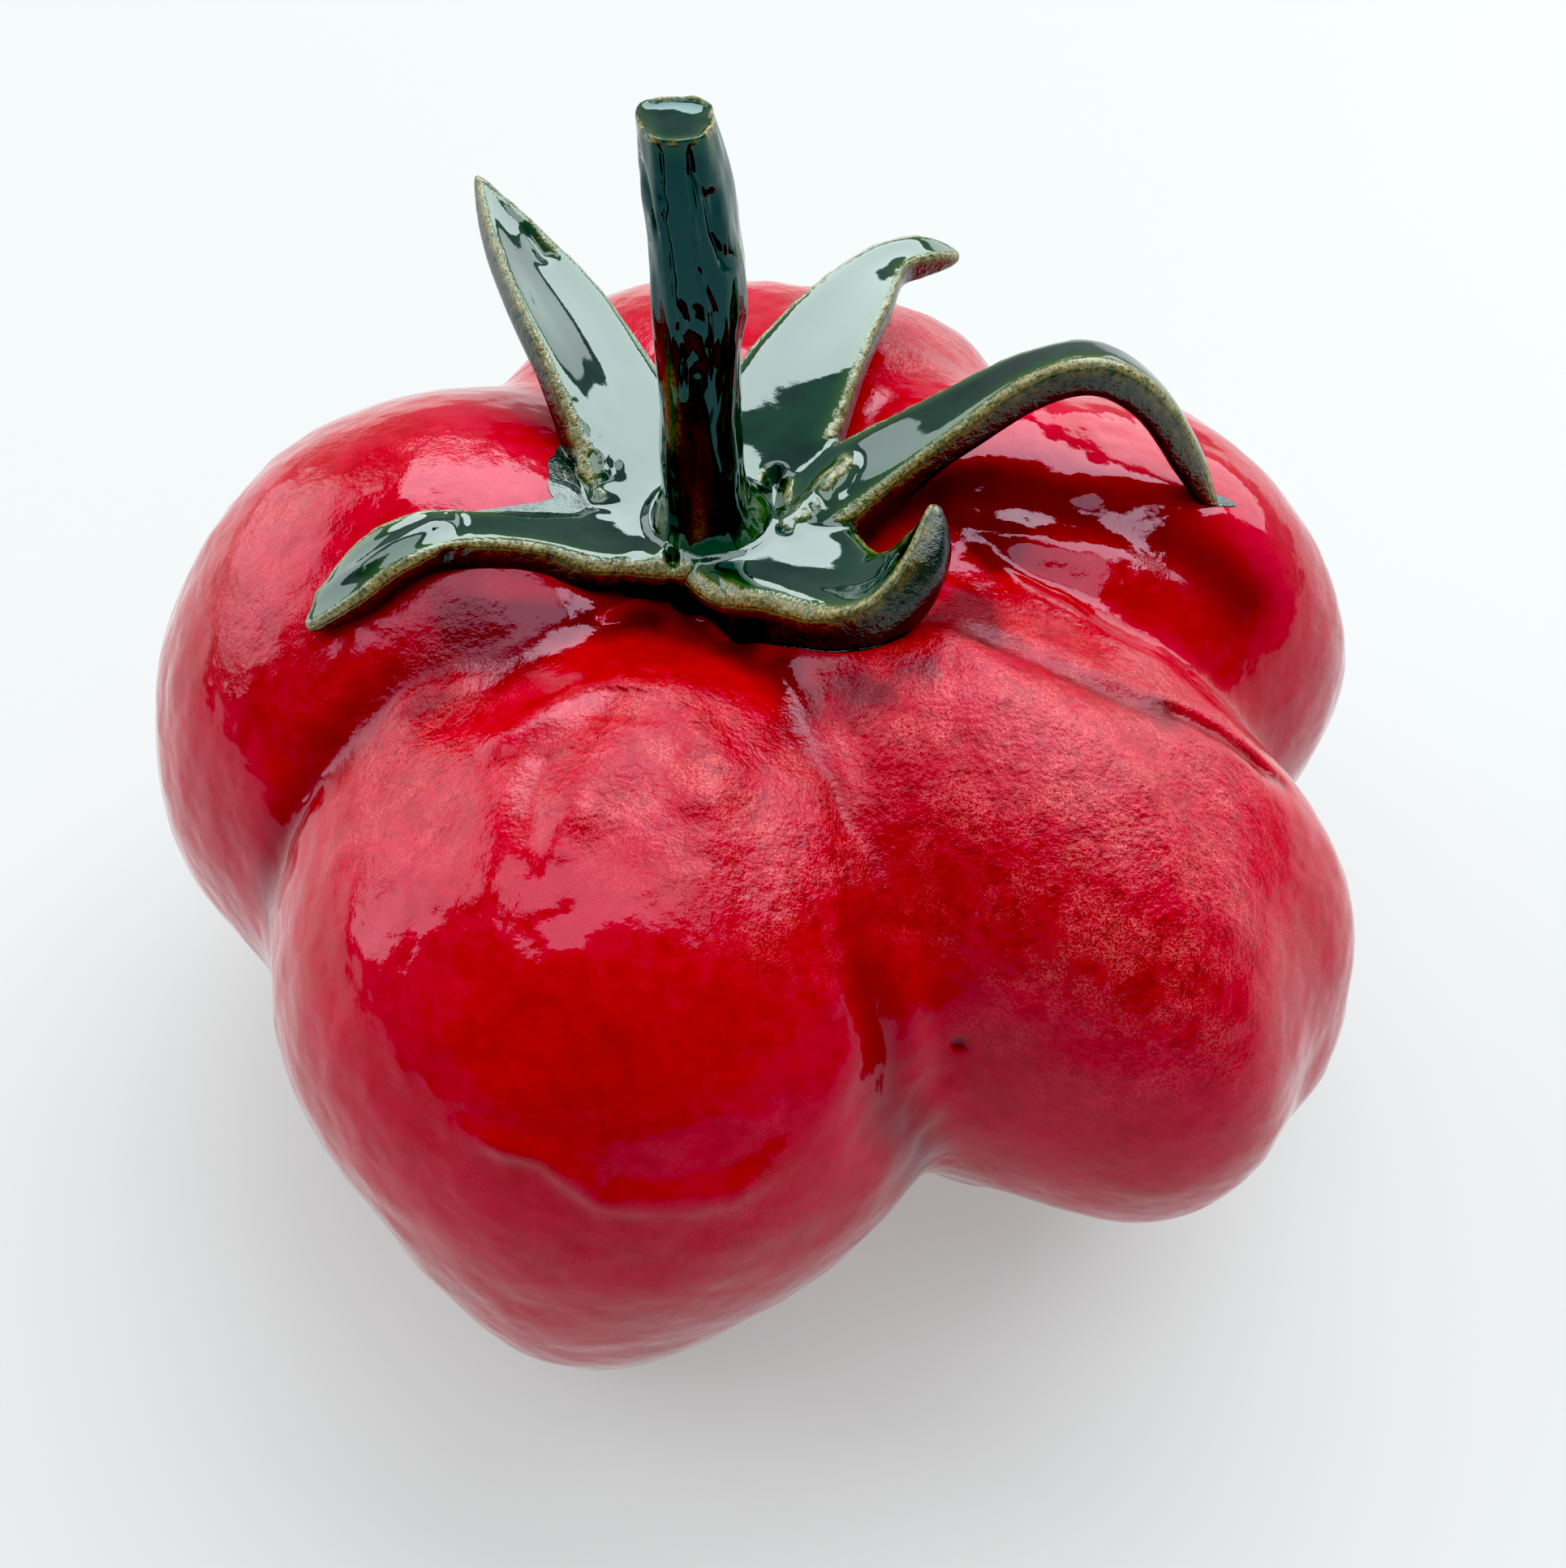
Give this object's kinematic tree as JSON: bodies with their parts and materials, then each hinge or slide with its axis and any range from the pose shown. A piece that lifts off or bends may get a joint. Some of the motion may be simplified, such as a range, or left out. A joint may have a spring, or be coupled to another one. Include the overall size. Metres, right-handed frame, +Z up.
{
  "type": "ceramic tomato ornament",
  "caption": "Hollow glazed ceramic tomato with five uneven lobes, a green calyx of curling cut sepals and an upright cut stem, on a flat foot.",
  "frame": {"origin": "centre of the flat foot, on the surface that the object stands on", "axes": "+Z up along the body's axis, +X to the right and +Y to the back as the object is seen from its front"},
  "size_m": [0.0995, 0.0936, 0.0875],
  "materials": {
    "red_glaze": "clear deep red glaze, glossy, slightly mottled",
    "green_glaze": "glossy bottle-green glaze that breaks to olive and cream on the edges"
  },
  "bodies": {
    "root": {"body_lower": "red_glaze", "body_upper": "red_glaze", "sepal_left": "green_glaze", "sepal_back_left": "green_glaze", "sepal_back_right": "green_glaze", "sepal_right": "green_glaze", "sepal_front": "green_glaze", "stem": "green_glaze"}
  },
  "joints": []
}
